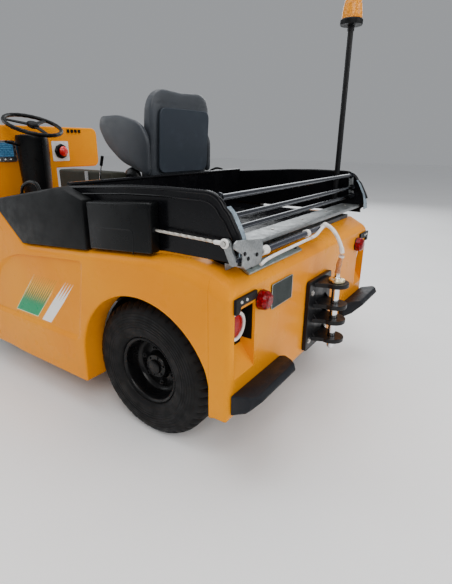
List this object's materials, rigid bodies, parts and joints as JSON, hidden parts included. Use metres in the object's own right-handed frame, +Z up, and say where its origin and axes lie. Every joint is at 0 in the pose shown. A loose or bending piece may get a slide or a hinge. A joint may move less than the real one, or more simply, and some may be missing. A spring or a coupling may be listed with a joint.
{
  "type": "airport baggage tug",
  "caption": "Open-cab airport tow tractor with rear load tray, raised side guards, rear tow hitch with a lift-out pin and cable release, steered front wheels and a hinged bonnet.",
  "frame": {"origin": "on the ground, below the middle of the vehicle's bounding box", "axes": "+X forward, +Y to the driver's left, +Z up"},
  "size_m": [3.362, 1.59, 2.095],
  "materials": {
    "body_orange": "satin gloss",
    "black_plastic": "satin",
    "tray_black": "gloss black",
    "grey_steel": "satin",
    "frame_black": "matt",
    "chrome": "polished",
    "tyre_rubber": "matt",
    "rim_black": "satin",
    "lamp_red": "gloss",
    "lamp_clear": "gloss",
    "beacon_amber": "gloss",
    "seat_black": "satin grain",
    "strap_orange": "satin",
    "cable_grey": "braided"
  },
  "bodies": {
    "chassis": {"chassis_frame": "frame_black", "battery_block": "frame_black", "battery_cover": "black_plastic", "floor_plate": "frame_black", "left_side_body": "body_orange", "right_side_body": "body_orange", "rear_body": "body_orange", "rear_deck": "tray_black", "front_body": "body_orange", "cowl": "body_orange", "dashboard": "body_orange", "front_bumper": "black_plastic", "left_headlamp": "lamp_clear", "right_headlamp": "lamp_clear", "left_guard": "black_plastic", "right_guard": "black_plastic", "release_box": "black_plastic", "release_cable": "cable_grey", "tray_left_wall": "tray_black", "tray_right_wall": "tray_black", "tray_front_wall": "tray_black", "rear_rails": "chrome", "rear_ledge": "grey_steel", "tow_hitch": "frame_black", "shaft_bracket": "grey_steel", "guide_bar": "grey_steel", "left_rear_bumper": "black_plastic", "right_rear_bumper": "black_plastic", "left_tail_lamp": "lamp_red", "right_tail_lamp": "lamp_red", "left_marker_lamp": "lamp_red", "right_marker_lamp": "lamp_red", "beacon_mast": "frame_black", "beacon": "beacon_amber", "rear_axle": "frame_black", "front_axle": "frame_black", "steering_column": "black_plastic", "seat_cushion": "seat_black", "seat_backrest": "seat_black", "side_console": "black_plastic"},
    "left_rear_wheel": {"left_rear_tyre": "tyre_rubber", "left_rear_rim": "rim_black"},
    "right_rear_wheel": {"right_rear_tyre": "tyre_rubber", "right_rear_rim": "rim_black"},
    "left_front_wheel": {"left_front_tyre": "tyre_rubber", "left_front_rim": "rim_black"},
    "right_front_wheel": {"right_front_tyre": "tyre_rubber", "right_front_rim": "rim_black"},
    "left_steering": {"left_knuckle": "frame_black"},
    "right_steering": {"right_knuckle": "frame_black"},
    "track_rod": {"tie_rod": "frame_black"},
    "steering_wheel": {"steering_wheel": "black_plastic"},
    "bonnet": {"bonnet": "body_orange"},
    "release_shaft": {"release_shaft": "grey_steel", "lift_arm": "grey_steel"},
    "tow_pin": {"tow_pin": "chrome", "lift_strap": "strap_orange"}
  },
  "joints": [
    {"name": "left_rear_wheel_spin", "type": "hinge", "parent": "chassis", "child": "left_rear_wheel", "pos_m": [-1.014, 0.645, 0.335], "axis": [0, 1, 0], "continuous": true},
    {"name": "left_steer", "type": "hinge", "parent": "chassis", "child": "left_steering", "pos_m": [0.981, 0.56, 0.335], "axis": [0, 0, 1], "range_deg": [-27, 27]},
    {"name": "left_front_wheel_spin", "type": "hinge", "parent": "left_steering", "child": "left_front_wheel", "pos_m": [0.981, 0.621, 0.335], "axis": [0, 1, 0], "continuous": true},
    {"name": "right_rear_wheel_spin", "type": "hinge", "parent": "chassis", "child": "right_rear_wheel", "pos_m": [-1.014, -0.645, 0.335], "axis": [0, 1, 0], "continuous": true},
    {"name": "right_steer", "type": "hinge", "parent": "chassis", "child": "right_steering", "pos_m": [0.981, -0.56, 0.335], "axis": [0, 0, 1], "range_deg": [-27, 27]},
    {"name": "right_front_wheel_spin", "type": "hinge", "parent": "right_steering", "child": "right_front_wheel", "pos_m": [0.981, -0.621, 0.335], "axis": [0, 1, 0], "continuous": true},
    {"name": "track_rod_slide", "type": "slide", "parent": "chassis", "child": "track_rod", "axis": [0, -1, 0], "range_m": [-0.068, 0.068]},
    {"name": "steering_wheel_turn", "type": "hinge", "parent": "chassis", "child": "steering_wheel", "pos_m": [0.611, 0.1, 1.44], "axis": [-0.3746, 0, 0.9272], "range_deg": [-541, 541]},
    {"name": "bonnet_hinge", "type": "hinge", "parent": "chassis", "child": "bonnet", "pos_m": [0.933, 0, 0.948], "axis": [0, -1, 0], "range_deg": [0, 62]},
    {"name": "release_turn", "type": "hinge", "parent": "chassis", "child": "release_shaft", "pos_m": [-1.499, 0, 0.945], "axis": [0, 1, 0], "range_deg": [0, 50]},
    {"name": "tow_pin_lift", "type": "slide", "parent": "chassis", "child": "tow_pin", "axis": [0, 0, 1], "range_m": [0, 0.131]}
  ],
  "couplings": [
    {"joint": "right_steer", "follows": "left_steer", "ratio": 1},
    {"joint": "track_rod_slide", "follows": "left_steer", "m_per_rad": 0.14},
    {"joint": "steering_wheel_turn", "follows": "left_steer", "ratio": 20},
    {"joint": "tow_pin_lift", "follows": "release_turn", "m_per_rad": 0.15}
  ]
}
